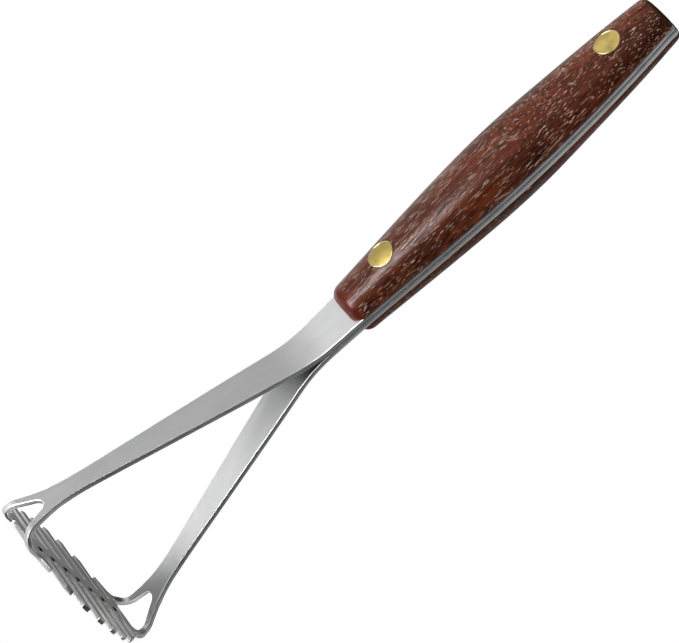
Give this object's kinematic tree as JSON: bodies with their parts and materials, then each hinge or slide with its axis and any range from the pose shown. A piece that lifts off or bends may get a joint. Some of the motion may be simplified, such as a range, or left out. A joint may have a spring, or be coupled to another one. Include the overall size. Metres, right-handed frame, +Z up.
{
  "type": "potato masher",
  "caption": "Upright potato masher: a round slotted plate on two arms that fork at the foot and close into a riveted wooden handle.",
  "frame": {"origin": "middle of the plate's underside, where the masher stands on a table", "axes": "+Z runs up from the plate to the free end of the handle, +X runs from one arm to the other, +Y runs across the width of the strap"},
  "size_m": [0.07, 0.0594, 0.2697],
  "materials": {
    "steel": "satin sheet with polished deburred edges",
    "wood": "sanded and oiled dark red-brown hardwood, open pores along the grain",
    "brass": "ground flush and satin"
  },
  "bodies": {
    "root": {"head_and_arms_strap": "steel", "front_scale": "wood", "rear_scale": "wood", "lower_rivet_post": "brass", "lower_rivet_sleeve": "brass", "upper_rivet_post": "brass", "upper_rivet_sleeve": "brass"}
  },
  "joints": []
}
